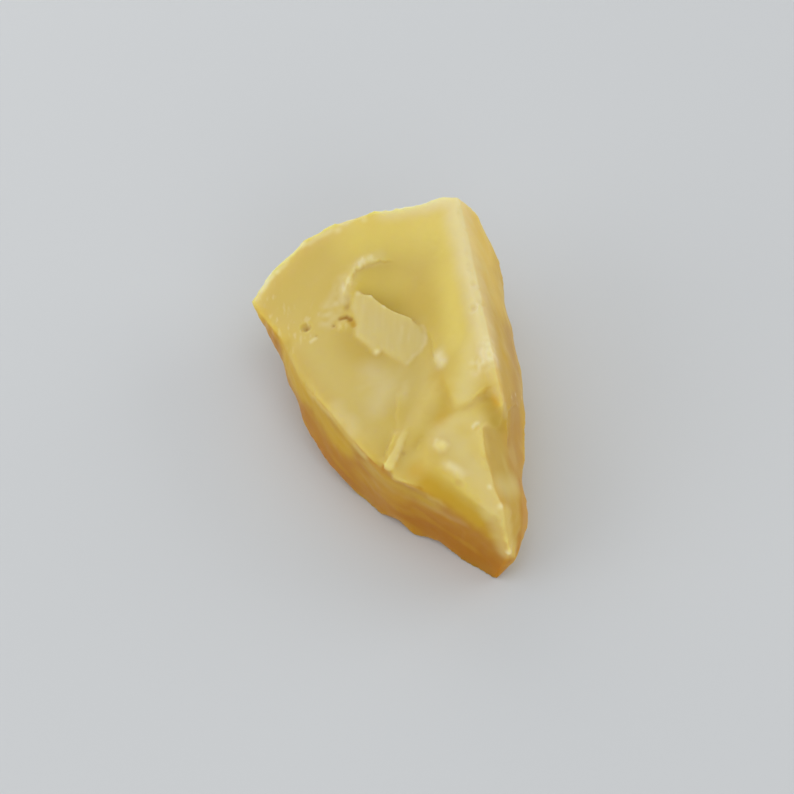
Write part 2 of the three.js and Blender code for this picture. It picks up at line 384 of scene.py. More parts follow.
class Skin:
    """The fine mesh of the stone. Points are in millimetres, and marks are one number a point."""

    def __init__(self, mesh):
        self.mesh = mesh
        count = len(mesh.vertices)
        self.points = np.empty(count * 3)
        mesh.vertices.foreach_get("co", self.points)
        self.points = self.points.reshape(-1, 3) / MM
        pairs = np.empty(len(mesh.edges) * 2, int)
        mesh.edges.foreach_get("vertices", pairs)
        pairs = pairs.reshape(-1, 2)
        source = np.concatenate([pairs[:, 0], pairs[:, 1]])
        target = np.concatenate([pairs[:, 1], pairs[:, 0]])
        order = np.argsort(source, kind="stable")
        self.neighbours = target[order]
        self.degree = np.bincount(source, minlength=count)
        self.starts = np.concatenate([[0], np.cumsum(self.degree)[:-1]])
        self.tree = tree_of(self.points)
        self.marks = {}

    def around(self, values):
        """The mean of the values at each point's neighbours."""
        total = np.add.reduceat(values[self.neighbours], self.starts, axis=0)
        return total / (self.degree if values.ndim == 1 else self.degree[:, None])

    def smooth(self, share, rounds):
        """Draws each point towards its neighbours, by a share that may differ over the skin."""
        share = np.broadcast_to(share, len(self.points))[:, None]
        for _ in range(rounds):
            self.points += share * (self.around(self.points) - self.points)

    def settle(self):
        """Puts the points in the mesh."""
        self.mesh.vertices.foreach_set("co", (self.points * MM).ravel())
        self.mesh.update()

    def normals(self):
        """The way outward at each point."""
        self.settle()
        found = np.empty(len(self.points) * 3)
        self.mesh.vertex_normals.foreach_get("vector", found)
        return found.reshape(-1, 3)

    def push(self, amount):
        """Moves the points outward along their normals."""
        self.points += amount[:, None] * self.normals()

    def mark(self, name, values):
        """Keeps the stronger of what the skin has under that name and the new values."""
        old = self.marks.get(name, np.zeros(len(self.points)))
        self.marks[name] = np.maximum(old, np.clip(values, 0, 1))

    def write(self):
        """Puts the points and the marks in the mesh, with nothing below the resting face."""
        self.points[:, 2] = np.maximum(self.points[:, 2], 0)
        self.settle()
        for name, values in self.marks.items():
            layer = self.mesh.attributes.new(name, "FLOAT", "POINT")
            layer.data.foreach_set("value", values.astype(np.float32))

    # Tools for carving. A path is a list of places near the skin, and is laid down on it.

    def land(self, place):
        """The point of the skin nearest to a place."""
        return self.points[self.tree.find(place)[1]]

    def lay(self, path, wobble):
        """Points along a path on the skin, each off the straight way by up to the wobble."""
        laid = []
        for a, b in zip(path, path[1:]):
            a, b = Vector(a), Vector(b)
            steps = max(1, round((b - a).length / PATH_STEP))
            laid.extend(a.lerp(b, i / steps) for i in range(steps))
        laid.append(Vector(path[-1]))
        return np.array([self.land(p + wobble * noise.noise_vector(p)) for p in laid])

    def follow(self, path, reach, wobble=0.0):
        """For each point, how far it is from the path, how far along it, and on which side.

        Along the path it is from 0 to 1. The side is 1 to the left of the path as it runs, seen
        from outside the stone, and -1 to the right.
        """
        laid = self.lay(path, wobble)
        normals = self.normals()
        far = np.full(len(self.points), np.inf)
        share = np.zeros(len(self.points))
        side = np.ones(len(self.points))
        for i, (a, b) in enumerate(zip(laid, laid[1:])):
            low, high = np.minimum(a, b) - reach, np.maximum(a, b) + reach
            near = np.flatnonzero(((self.points > low) & (self.points < high)).all(1))
            run = b - a
            off = self.points[near] - a
            part = np.clip(off @ run / max(run @ run, 1e-9), 0, 1)
            off -= part[:, None] * run
            span = np.linalg.norm(off, axis=1)
            closer = span < far[near]
            pick = near[closer]
            far[pick] = span[closer]
            share[pick] = (i + part[closer]) / (len(laid) - 1)
            side[pick] = np.sign((np.cross(run, off[closer]) * normals[pick]).sum(1))
        return far, share, side

    def wash(self, path, width, wobble=0.0, taper=0.2):
        """How strongly a soft stroke along a path touches each point, from 0 to 1."""
        far, share, _ = self.follow(path, width, wobble)
        return smoothstep(width, 0, far) * faded(share, taper)

    def rib(self, path, width, height, wobble=0.0, taper=0.2):
        """Raises a soft rib along a path, or sinks a groove where the height is negative."""
        shape = self.wash(path, width, wobble, taper)
        self.push(height * shape)
        return shape

    def step(self, path, height, reach, edge=0.25, wobble=0.0, taper=0.2):
        """Lifts the skin left of a path, most at the path, so that a sharp step faces right."""
        far, share, side = self.follow(path, reach, wobble)
        far = np.minimum(far, reach)
        lift = np.where(side > 0, (1 - far / reach) ** 2, smoothstep(edge, 0, far))
        lift *= faded(share, taper)
        self.push(height * lift)
        return lift

    def lath(self, path, width, height):
        """Raises a flat lath with sharp sides, which widens and rises along a path."""
        edge = 0.15  # half the width of the slope at its sides
        far, share, _ = self.follow(path, width)
        half = width / 2 * (0.5 + 0.5 * share)
        shape = smoothstep(half + edge, half - edge, far) * smoothstep(0, 0.5, share)
        self.push(height * shape)
        return shape

    def lump(self, place, radius, height):
        """Raises a rounded lump, or sinks a dent where the height is negative."""
        far = np.linalg.norm(self.points - self.land(place), axis=1)
        shape = smoothstep(radius, 0, far)
        self.push(height * shape)
        return shape

    def bite(self, place, outward, radius, depth):
        """Knocks a chip shaped like a shallow bowl out of the skin."""
        centre = place + outward * (radius - depth)
        off = self.points - centre
        far = np.linalg.norm(off, axis=1)
        hit = np.flatnonzero(far < radius)
        self.points[hit] = centre + off[hit] * (radius / far[hit])[:, None]

    def soften(self, path, reach, rounds):
        """Rounds the ridge that runs along a path."""
        far = self.follow(path, reach)[0]
        self.smooth(0.5 * smoothstep(reach, 0.4 * reach, far), rounds)


# ---------------------------------------------------------------------------------------------
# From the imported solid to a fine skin
# ---------------------------------------------------------------------------------------------

WELD = 0.002  # corners nearer than this are one
SHARP = math.radians(21)  # two facets that turn more than this meet in a ridge
RIDGE_STEP = 0.25  # distance between the samples taken along a ridge


def welded(node):
    """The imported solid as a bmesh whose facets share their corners."""
    shape = bmesh.new()
    shape.from_mesh(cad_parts[node].data)
    bmesh.ops.remove_doubles(shape, verts=shape.verts, dist=WELD * MM)
    return shape


def ridge_samples(shape):
    """Points along the ridges of the solid, in millimetres."""
    samples = []
    for edge in shape.edges:
        if len(edge.link_faces) != 2 or edge.calc_face_angle() < SHARP:
            continue
        a, b = (v.co / MM for v in edge.verts)
        steps = max(1, round((b - a).length / RIDGE_STEP))
        samples.extend(a.lerp(b, (i + 0.5) / steps) for i in range(steps))
    return samples


def fine_mesh(shape, grain):
    """The solid remeshed in even quads."""
    coarse = bpy.data.meshes.new("coarse")
    shape.to_mesh(coarse)
    carrier = bpy.data.objects.new("carrier", coarse)
    bpy.context.collection.objects.link(carrier)
    remesh = carrier.modifiers.new("Even quads", "REMESH")
    remesh.mode = "VOXEL"
    remesh.voxel_size = grain
    graph = bpy.context.evaluated_depsgraph_get()
    fine = bpy.data.meshes.new_from_object(carrier.evaluated_get(graph))
    bpy.data.objects.remove(carrier)
    bpy.data.meshes.remove(coarse)
    return fine


def even_facets(skin, ridges):
    """Smooths the facets away, but keeps a narrow strip along the ridges as it is."""
    tree = tree_of(ridges)
    far = np.array([tree.find(p)[2] for p in skin.points])
    skin.smooth(0.6 * smoothstep(0.1, 0.9, far), 60)


# ---------------------------------------------------------------------------------------------
# Carving: what the breaks left on the faces, and painted glints and highlights on them
# ---------------------------------------------------------------------------------------------

# The long ridges, from end to end.
CREST = (
    (11.6, 18, 17.5),
    (10.4, 14.6, 17.9),
    (8.5, 5.4, 18.4),
    (7, -0.9, 18.4),
    (6.2, -5.4, 17.9),
    (6, -8.6, 16.4),
)
BROW = (
    (-6.4, -10.8, 10.3),
    (-4.5, -13.4, 12),
    (-2.5, -16.4, 12),
    (-1, -18.9, 11),
    (0.5, -20.9, 10),
    (1.5, -22.4, 8),
)
LEDGE = (
    (-13, 10, 10),
    (-13, 3.6, 10),
    (-12, -0.4, 10.5),
    (-10.5, -4.9, 10.5),
    (-9.5, -8.9, 10),
    (-8.5, -11.9, 9.5),
)
SHELF_TOP = ((-4.4, -13, 11.9), (-2.5, -9.9, 12.5), (-0.5, -9.4, 13), (1.4, -9.6, 13.5))
SHELF_SIDE = (
    (3.5, -9.9, 14.2),
    (2, -14.4, 13),
    (1.5, -16.9, 12.5),
    (1.5, -18.9, 11),
    (2, -20.9, 10),
)
NOTCH_LIP = ((3.3, -11, 13.6), (4.1, -11.6, 12.8), (4.9, -11.7, 12.2), (5.6, -11.4, 12.2))
FLAKE_SIDE = ((-3.4, 12.7, 12.2), (-4.4, 10.9, 11.8), (-4.6, 8.4, 11.6))
RIM = (
    (-13.9, 18.4, 9.1),
    (-10.9, 20.6, 10.3),
    (-7.6, 22.3, 11.4),
    (-3, 22.8, 12.5),
    (0.6, 22.6, 13.2),
    (4.2, 22, 14),
    (7.6, 21, 15),
    (10.6, 19.4, 16.9),
)

# The flake that stands in the middle of the top, seen from above.
FLAKE = (
    (-3.4, 12.7),
    (-1.7, 11.8),
    (-0.6, 9.2),
    (1.4, 7),
    (1.9, 5.4),
    (2, 3.7),
    (1.6, 2.7),
    (-1.3, 0.6),
    (-2.7, 2.8),
    (-3.2, 3.8),
    (-4.1, 3.5),
    (-4.5, 4.9),
    (-5.4, 7),
    (-4.6, 8.4),
    (-4.4, 10.9),
)


def inside(points, outline):
    """Which points lie inside an outline seen from above."""
    x, y = points[:, 0], points[:, 1]
    within = np.zeros(len(points), bool)
    for (ax, ay), (bx, by) in zip(outline, outline[1:] + outline[:1]):
        if ay == by:
            continue
        crosses = (ay > y) != (by > y)
        within ^= crosses & (x < (bx - ax) * (y - ay) / (by - ay) + ax)
    return within


def streaks(points, along, pitch, length, seed=0.0):
    """Noise from -1 to 1 drawn out along a direction."""
    along = np.asarray(along, float) / np.linalg.norm(along)
    squeezed = points - (points @ along)[:, None] * along * (1 - pitch / length)
    return swell(squeezed, pitch, seed)


ROUNDED = (
    # path, reach in millimetres, rounds of smoothing
    (CREST, 2.6, 90),
    (BROW, 2, 50),
    (SHELF_TOP, 1.8, 40),
    (SHELF_SIDE, 0.5, 6),
    (LEDGE, 1.2, 18),
    (NOTCH_LIP, 1.5, 40),
    (RIM, 0.8, 8),
    (FLAKE_SIDE, 1.2, 20),
)


def round_ridges(skin):
    for path, reach, rounds in ROUNDED:
        skin.soften(path, reach, rounds)


# Soft strokes of colour: mark, reach in millimetres, strength and path. A strength over 1 makes a
# stroke even across its middle.
RIDGE_STROKES = (
    # Painted light: the glow of the thin rim.
    ("pale", 0.7, 0.6, RIM),
    ("olive", 1, 0.5, LEDGE),
    # Painted light: the glow near the summit and the sheen along the crest and at its end.
    ("pale", 2.6, 0.8, ((4.2, 22, 14.3), (7.6, 21, 15.3), (10.4, 19.2, 16.9), (11, 17, 17.4))),
    ("pale", 3, 0.9, CREST[:-1]),
    ("pale", 1.6, 0.3, ((6.2, -5.4, 17.6), (6, -8, 16.4))),
    ("milk", 1.8, 0.4, ((6.2, -5.4, 17.6), (6, -8, 16.4), (5.8, -9.2, 15.4))),
    # Painted shade: gold down the top of the left flank and under the brow, and honey in the hollow
    # under it.
    ("gold", 1, 0.6, ((-14.3, 16.8, 9), (-13.8, 14.4, 9), (-13.2, 11.8, 9.2), (-13.2, 9, 9))),
    ("gold", 1.8, 0.75, ((-5.5, -13, 10.5), (-5.2, -13.6, 10.5), (-4.4, -15.1, 9.7))),
    ("gold", 2.4, 1.1, ((-4.4, -15.1, 9.6), (-2.4, -17.6, 8.7), (-0.6, -20, 7.7))),
    ("gold", 2, 0.8, ((-0.6, -20, 7.7), (0.6, -21.7, 6.4))),
    ("honey", 1.6, 1.4, ((-4, -14.6, 11), (-3.1, -16.2, 10.4), (-1.7, -18.3, 9.9), (-0.2, -20.4, 8.8))),
    # Painted light on the faces round the tail.
    ("milk", 1.5, 0.8, ((1.8, -21.6, 8.4), (1.9, -22.6, 6.4), (2, -23.3, 4.8))),
    ("milk", 1.8, 0.8, ((0.8, -20.6, 9.6), (1, -21.6, 8), (1.2, -22.6, 6), (1.4, -23, 4.8))),
)
FACE_STROKES = (
    # Painted light: the thin rim's glow.
    ("milk", 2, 0.4, RIM),
    # Painted shade in the bowl's hollow.
    ("honey", 6, 1, ((-2.2, 13.2, 11.6), (0.4, 10.5, 11), (2, 7.6, 11.5), (2.4, 5, 12))),
    # Painted light: the top lightened beside the crushed edge, near the summit and down the right of
    # the bowl.
    ("lemon", 3.4, 0.5, ((-2.4, 14.6, 12), (-0.6, 14, 11.8), (1.4, 13.2, 11.6))),
    ("lemon", 6, 0.9, ((0, 20, 12.8), (3, 19.4, 13.4), (6, 18, 14), (9, 15.4, 15.8))),
    ("lemon", 4, 0.9, ((9, 15, 16), (7.4, 10, 15.4), (6, 5, 15), (4.8, 0, 14.6))),
    # Painted shade under the flake's lower edge.
    ("olive", 3.4, 0.35, ((-6, 6.4, 11.3), (-5, 3.4, 11.3), (-3, 0.8, 11.2), (-1.6, -0.6, 11.3))),
    ("olive", 2.2, 0.5, ((-12.6, 7.4, 10), (-11.8, 2.5, 10.3), (-11.3, 0, 10.5))),
    ("milk", 5, 0.6, ((-10.4, 7, 10.3), (-10, 2, 10.4), (-9, -3, 10.3), (-8.6, -5.6, 10.2))),
    ("milk", 5, 0.7, ((-8, -1, 10.5), (-5, -1, 10.8), (-2.4, -0.5, 11.2))),
    ("pale", 2.6, 0.4, ((-5.3, 2, 10.9), (-4.4, -0.6, 11), (-6.4, -3.4, 10.6))),
    ("pale", 1.6, 0.35, ((-10.8, -1.6, 10.4), (-10.1, -3.4, 10.3), (-9.8, -5, 10.2))),
    # Painted shade in the valley, the trough and the gully under the bank.
    ("honey", 2.6, 0.7, ((-5, -3.8, 10.8), (-6.4, -6, 10.5), (-7.6, -8.6, 10.1))),
    ("gold", 1.6, 0.4, ((1.1, -2.6, 12.8), (1.1, -5, 13), (1, -6.8, 12.9))),
    ("honey", 2.4, 1, ((1, -6.8, 12.9), (0.2, -8.2, 12.7), (-1.8, -9.2, 12.1), (-3.4, -10, 11.6))),
    ("gold", 1.8, 0.7, ((1.3, -5.8, 13), (0.6, -7.8, 12.8), (-0.8, -8.8, 12.3))),
    ("gold", 1.4, 0.35, ((1.2, -8, 13), (2.4, -8.7, 13.6), (3.3, -8.6, 13.9), (5, -8.7, 15))),
    ("gold", 0.8, 0.9, ((5.2, -9.4, 14.8), (5.2, -9.8, 14.6))),
    # Painted shade in the notch.
    ("olive", 2, 0.9, ((4.4, -9.4, 14.4), (4.6, -10.6, 13.9), (4.6, -11.6, 12.6), (4.4, -12.4, 12))),
    ("pale", 1.3, 0.6, ((-4.2, 14.4, 11.9), (-4.5, 13.1, 11.8), (-4.8, 12.6, 11.6))),
    ("pale", 1.2, 0.35, ((-1.6, 16.3, 12.5), (-0.8, 16.3, 12.6), (0.2, 16.4, 12.6))),
    # Painted light: the bank's slope and the shelf lightened.
    ("pale", 2.6, 0.4, ((5.8, -2.2, 16.4), (4.6, -4.4, 15.4), (3.4, -6, 14.4), (2.6, -7.2, 13.7))),
    ("lemon", 3.2, 0.8, ((5.4, -1.6, 16), (4.4, -4.2, 15.2), (3.2, -6, 14.2), (2.4, -7, 13.6))),
    ("lemon", 4.4, 0.5, ((1.6, -11.3, 13.4), (0, -14.3, 12.4), (0.4, -18, 11.4))),
    ("pale", 3, 0.4, ((-1.2, -10.8, 12.6), (-0.4, -13.6, 12.8), (0.4, -17.4, 11.9), (1.4, -20.6, 10))),
    ("pale", 2.2, 0.3, ((-0.2, -10.2, 13), (2.4, -11.2, 13.6), (1.8, -14, 13))),
)
RIGHT_STROKES = (
    # Painted light: the right side near the summit.
    ("sun", 5, 1.6, ((12.4, 17.6, 16), (12.4, 15, 15.6), (12, 12, 15.2))),
    ("sun", 4.6, 0.9, ((12, 12, 15.2), (11.6, 8, 14.8), (11, 5, 14.4))),
    # Painted shade: the darker strip down the right side below the crest, and the steep face beside the
    # shelf.
    ("gold", 2.6, 0.5, ((10.4, 5.2, 15.4), (9.6, 1.4, 15), (9, -1, 14.8), (8.2, -4, 14.6))),
    ("olive", 3.2, 1.6, ((3.8, -11.1, 13.2), (3.5, -13, 12.2), (3.1, -15.1, 11.4), (3.2, -16.7, 10.4))),
    # Painted shade with a warm reflection in it, down the right side.
    ("rose", 2.6, 1.8, ((7.9, -8.6, 11), (7.2, -10.8, 9.6), (6.6, -12.4, 9), (5.3, -16, 8.3))),
    ("rose", 2.6, 1, ((11.4, 1, 11.6), (10.4, -3, 11.4), (9.4, -6.4, 11.2))),
    # Painted light on the faces between the shelf's tip and the toe.
    ("milk", 2.2, 0.7, ((2.8, -18, 10.2), (3.7, -17.9, 9.2), (4.6, -17.4, 8.2))),
    ("milk", 1.6, 0.7, ((2, -20.8, 9), (2.2, -22, 7), (2.2, -23, 5))),
    # Painted shade: the low right side by the tail darkened to brown.
    ("amber", 1, 1, ((5.8, -17.8, 6.2), (5.4, -19.4, 5.2), (5, -20.6, 4.1), (4.4, -21.4, 3.2))),
    ("amber", 2.2, 1.3, ((6.6, -16.6, 6.4), (5.5, -18.4, 5.6), (4.9, -20.4, 4.2), (4.2, -22, 3))),
)
# The gold, honey and ember strokes darken the left flank from below the ledge down to its foot: partly
# the stone's deeper colour, partly painted shade.
LEFT_STROKES = (
    ("gold", 2.6, 1.2, (
        (-13.4, 9, 8.4),
        (-13.3, 6.3, 7.8),
        (-12.6, 1.9, 8.4),
        (-12, -1, 7.8),
        (-10.8, -5, 7.4),
    )),
    ("honey", 1.1, 0.7, (
        (-13.2, 10, 8.9),
        (-13, 4.5, 9.4),
        (-11.5, -1.9, 9.8),
        (-10.8, -4.3, 9.3),
        (-9.4, -8.4, 9),
    )),
    ("milk", 1, 0.55, ((-13, 4.5, 9.6), (-11.5, -1.9, 10), (-10.8, -4.3, 9.6), (-9.4, -8.4, 9.2))),
    ("honey", 2, 0.5, (
        (-9.6, -9, 7.9),
        (-8.3, -11.2, 7.8),
        (-7.1, -12.8, 7.7),
        (-5.8, -14, 7.4),
        (-4.3, -15.6, 7),
    )),
    ("gold", 2, 0.4, ((-9.9, -7.1, 4.6), (-8.4, -10.6, 5.2), (-7.1, -12.7, 5.7))),
    ("ember", 3.4, 0.7, ((-6.4, -13.4, 2.6), (-4.5, -15.5, 3), (-2.6, -18, 2.2), (0.2, -22, 1))),
    ("ember", 3, 0.6, ((-13.4, 3.6, 3.4), (-12, -1, 2.6), (-10.4, -5, 1.8))),
)


def stroke_colours(skin):
    """Marks each side with its strokes, and the steep sides with their deep colours, partly as painted
    shade.
    """
    normals = skin.normals()
    right = smoothstep(0.35, 0.6, normals[:, 0])
    steep = smoothstep(0.5, 0.15, normals[:, 2]) * (1 - right)
    left = steep * smoothstep(0.6, 0.8, -normals @ (0.86, 0.5, 0))
    rim = skin.wash(RIM, 5, taper=0)
    back = smoothstep(0.3, 0.6, normals[:, 1]) * (1 - right)
    for strokes, share in (
        (RIDGE_STROKES, 1 - 0.3 * right),
        (FACE_STROKES, 1 - np.maximum(np.maximum(right, left), back)),
        (RIGHT_STROKES, right),
        (LEFT_STROKES, left),
    ):
        for name, reach, strength, path in strokes:
            skin.mark(name, strength * skin.wash(path, reach, wobble=0.4, taper=0) * share)
    # The right side's warm, dull tan is partly painted: it stands in for the shade on that side and the
    # warm light thrown back onto it.
    skin.mark("tan", right)
    # The low steep sides darken to amber: partly the stone's deeper colour, partly painted shade where
    # less light falls.
    low = smoothstep(11.5, 9.8, skin.points[:, 2])
    skin.mark("olive", back * rim)
    skin.mark("milk", 0.7 * back * rim)
    skin.mark("amber", steep * low * (1 - 0.6 * back) * (1 - rim))
    veins = streaks(skin.points, (0.45, -0.85, -0.3), pitch=1.2, length=9, seed=9)
    skin.mark("gold", 0.3 * steep * (1 - rim) * smoothstep(0, 0.5, veins))
    silk = streaks(skin.points, (0.6, -0.8, -0.1), pitch=0.9, length=7, seed=4)
    under_brow = ((-9, -10, 7.8), (-7.1, -12.8, 7.6), (-4.3, -15.6, 6.8), (-2.4, -18, 6))
    pleats = skin.wash(under_brow, 2, wobble=0.3, taper=0)
    skin.mark("pale", 0.2 * left * pleats * smoothstep(-0.2, 0.5, silk))


def carve_slab(skin):
    """The crushed edge between the slab and the bowl, with a pale band and ticks beside it."""
    crushed = (
        (-3.8, 12.6, 12.1),
        (-3.6, 13.8, 12.1),
        (-3.2, 14.7, 12.2),
        (-2.9, 15.5, 12.3),
        (-2.2, 16, 12.3),
        (-1.5, 15.9, 12.4),
        (-0.8, 16.1, 12.5),
        (0, 16.3, 12.5),
        (1, 16.3, 12.5),
        (3.1, 15.3, 12.8),
    )
    scarp = skin.step(crushed, 0.26, 2.2, edge=0.15, wobble=0.2, taper=0.3)
    left_pad = ((-3.5, 15, 12.1), (-3.8, 14.4, 12), (-4.3, 13.4, 11.8))
    back_pad = ((-1.5, 16.4, 12.4), (-0.7, 16.6, 12.5), (-0.1, 16.6, 12.6))
    pads = np.maximum(
        skin.rib(left_pad, 0.9, 0.1, wobble=0.2, taper=0),
        skin.rib(back_pad, 0.9, 0.14, wobble=0.2, taper=0),
    )
    fine = streaks(skin.points, (0.34, 0.94, 0), pitch=0.4, length=1.6, seed=3)
    crumb_and_glint = np.maximum(0.4 * smoothstep(0.6, 1, scarp), pads) * smoothstep(-0.2, 0.4, fine)
    skin.push(0.1 * crumb_and_glint * fine)
    skin.mark("crumb_and_glint", 0.55 * crumb_and_glint)
    beside = ((-7.4, 11.1, 11), (-6, 12.4, 11.3), (-4.8, 13.4, 11.7), (-4, 14.8, 12))
    band = skin.wash(beside, 2, wobble=0.6, taper=0)
    skin.mark("pale", 0.65 * band * smoothstep(-0.8, 0.6, swell(skin.points, 0.9, 6)))
    behind = ((-4, 14.6, 12), (-1.4, 16.8, 12.4), (1, 16.6, 12.6))
    skin.mark("pale", 0.3 * skin.wash(behind, 1.4, wobble=0.3, taper=0))
    skin.rib(((-4.4, 12.6, 11.9), (-4.7, 11.5, 11.7), (-5, 11, 11.6)), 0.6, -0.12, taper=0)
    nodule = skin.lump((-6.2, 9, 11.3), 1.1, 0.2)
    skin.mark("crumb_and_glint", 0.3 * nodule * smoothstep(0, 0.5, fine))
    ticks = streaks(skin.points, (0.2, 0.95, 0.2), pitch=0.3, length=1.6, seed=8)
    far_left = ((-12.6, 18, 9.6), (-12.4, 14, 9.8), (-11.4, 10, 10.2), (-9, 12, 10.8))
    field = skin.wash(far_left, 3.4, taper=0)
    skin.mark("pale", 0.5 * field * smoothstep(0.25, 0.6, ticks))


def carve_pits(skin):
    """The stained pits between the slab and the flake, and a scratch beside them."""
    pit = skin.rib(((-6, 10.1, 11.2), (-5.4, 10.1, 11.3), (-5, 9.6, 11.4)), 0.45, -0.15, taper=0)
    skin.mark("stain", 0.8 * pit)
    crescent = skin.rib(((-5.2, 9.9, 11.4), (-4.9, 9, 11.4), (-5.1, 8, 11.4)), 0.6, -0.1, taper=0.2)
    skin.mark("gold", 1.3 * crescent)
    for place, radius, strength in (
        ((-7.1, 9.6, 11), 0.3, 0.7),
        ((-10.1, 10.9, 10.5), 0.3, 0.9),
        ((-9.4, 9.2, 10.7), 0.3, 0.4),
        ((-4.8, 11.5, 11.7), 0.6, 0.25),
    ):
        skin.mark("stain", strength * skin.lump(place, radius, -0.06))
    scratch = ((-10.5, 8.6, 10.5), (-9.9, 8.8, 10.6), (-9.2, 8.9, 10.7))
    skin.mark("crumb_and_glint", 0.5 * skin.rib(scratch, 0.45, 0.07, wobble=0.1))


def carve_rim(skin):
    """Painted glints on small lumps along the slab's thin rim, and its blunt corner."""
    # Each lump is whitened as a painted glint.
    for place, radius in (
        ((-6.6, 22.7, 11.8), 0.7),
        ((-2.3, 22.2, 13.1), 0.8),
        ((1, 21.9, 13.9), 0.7),
        ((-10.4, 20.5, 10.5), 0.5),
    ):
        skin.mark("crumb_and_glint", 0.4 * skin.lump(place, radius, 0.05))
    skin.lump((-14.2, 16.2, 8.5), 1.5, 0.2)
    skin.soften(((-14, 19, 9.2), (-14.4, 17.6, 9), (-14.2, 16, 8.6)), 0.8, 6)
    skin.mark("crumb_and_glint", 0.5 * skin.wash(((-12.9, 19.2, 9.6), (-11.3, 20.3, 10.1)), 0.6, taper=0))


def carve_flake(skin):
    """The flake, frosted and streaky on top, with a sharp rim towards the front."""
    top = inside(skin.points, FLAKE) & (skin.points[:, 2] > 11)
    sheet = top.astype(float)
    for _ in range(3):
        sheet = skin.around(sheet)
    grain = streaks(skin.points, (0.34, 0.94, 0), pitch=0.45, length=3)
    skin.push(sheet * (0.025 * grain - 0.04))
    skin.mark("milk", 0.9 * sheet)
    skin.mark("pale", sheet * (0.2 + 0.12 * grain))
    bloom = skin.wash(((0.2, 5.6, 12), (-0.1, 4.4, 12)), 1.6, wobble=0.4, taper=0)
    skin.mark("pale", 0.5 * sheet * bloom * smoothstep(-0.5, 0.3, grain))
    skin.soften(((-5.2, 7.4, 11.8), (-5.4, 6.8, 11.7), (-4.5, 4.9, 11.7), (-4.2, 3.8, 11.6)), 0.7, 10)
    skin.soften(((-3.2, 3.8, 11.7), (-2.7, 2.8, 11.7), (-1.6, 1.2, 11.7)), 0.5, 5)
    # A painted highlight along the flake's sharp front rim.
    front = ((2.2, 5.4, 12.1), (2.1, 3.8, 12), (1.6, 2.6, 12), (0.3, 1.8, 11.9), (-1.2, 0.8, 11.8))
    skin.mark("crumb_and_glint", 0.25 * skin.wash(front, 0.45, taper=0))
    for place in ((-1.7, 11.7, 12.2), (-0.7, 9.5, 12.1), (-3, 12.5, 12.2), (-3.9, 3.7, 11.8)):
        skin.mark("crumb_and_glint", 0.5 * skin.lump(place, 0.6, 0.08))


def carve_fan(skin):
    """The low rays under the flake, the flat patch with its sharp border, and the splinter."""
    for path in (
        ((-1.6, 0.9, 11.5), (-3.6, -1.2, 11), (-6.8, -4.4, 10.6)),
        ((-1.4, -0.8, 11.4), (-3.1, -2.8, 11), (-4.4, -4.4, 10.8)),
        ((-3.8, 1.8, 11.3), (-5.4, 0.6, 10.9), (-8, -1, 10.5)),
    ):
        skin.mark("pale", 0.3 * skin.rib(path, 0.9, 0.06, wobble=0.6, taper=0.5))
    skin.step(((-3.2, -2, 11), (-4.6, -5.2, 10.8), (-5.5, -8.2, 10.7)), 0.09, 2, wobble=0.1)
    skin.soften(((-4.6, -7.2, 11.2), (-5.4, -8.4, 11.1)), 1.2, 12)
    lath = skin.lath(((-4, -7.2, 11), (-6.4, -9.9, 10.7), (-8, -11.5, 10.3)), 1.1, 0.14)
    skin.mark("lemon", 0.3 * lath)
    skin.mark("pale", 0.4 * lath)
    skin.mark("lemon", 0.6 * skin.wash(((-8.1, -11.7, 10.3), (-8.3, -12, 9.7)), 1, taper=0))


def carve_bank(skin):
    """The rib and the trough beside the bank, the bank's broken top dotted with painted glints, and the
    gully below.
    """
    spur = (
        (1.2, -2.2, 13),
        (-0.2, -4.4, 12.2),
        (-2, -6.4, 11.6),
        (-4.2, -8.6, 11.1),
        (-5.4, -9.8, 10.9),
    )
    skin.mark("milk", 0.3 * skin.rib(spur, 1.8, 0.2, wobble=0.2, taper=0.4))
    trough = ((1.2, -3.4, 12.9), (1.2, -6, 13), (0, -8.4, 12.5), (-2.4, -9.6, 11.8))
    skin.rib(trough, 1.6, -0.16, taper=0.4)
    under = (
        (1.4, -2.6, 13.1),
        (1.4, -3.9, 13.1),
        (1.3, -5.9, 13.1),
        (1.4, -7.9, 13.1),
        (2.2, -8.4, 13.5),
        (3.6, -8.2, 14.2),
        (5.1, -8.2, 15.3),
        (5.7, -8.5, 16),
    )
    skin.step(under, 0.24, 2.2, edge=0.35, wobble=0.15, taper=0.2)
    skin.soften(((1.4, -3.4, 13.1), (1.3, -5.9, 13.2), (1.6, -7.8, 13.4), (2.4, -8.2, 13.8)), 1.1, 10)
    skin.rib(((1.4, -8.9, 13.1), (3.3, -8.8, 13.9), (5.1, -8.9, 15)), 0.9, -0.12, taper=0.3)
    # The bank's broken top: its raised bits are whitened as painted glints.
    rough = swell(skin.points, 0.6, 5)
    top = ((6.3, -4, 17.3), (5.9, -5.8, 16.9), (4.6, -5.6, 15.9))
    broken = skin.wash(top, 1.7, wobble=0.3, taper=0)
    skin.push(broken * (0.06 + 0.08 * rough))
    skin.mark("crumb_and_glint", broken * (0.3 + 0.6 * rough))
    border = ((2.5, 4.8, 12.1), (2.5, 2.8, 12.4), (2.4, 2, 12.5), (1.8, 0.4, 12.4), (1.4, -1.6, 12.6))
    skin.step(border, 0.14, 1.6, edge=0.2, wobble=0.1)
    # A small bump, lightened as a painted highlight.
    bump = skin.rib(((2.1, -0.7, 12.9), (2.2, -1.6, 13.1)), 1.1, 0.14, taper=0)
    skin.mark("crumb_and_glint", 0.35 * bump)
    skin.mark("pale", 0.6 * skin.wash(((2.2, -0.2, 12.9), (2.1, -1.6, 13.1)), 1.4, taper=0))
    fang = skin.wash(((5.7, -9.2, 15.5), (5.8, -10.4, 14.8), (6.2, -10.8, 12.8)), 0.9, taper=0)
    skin.mark("olive", 0.6 * fang)
    skin.mark("pale", 0.3 * fang)


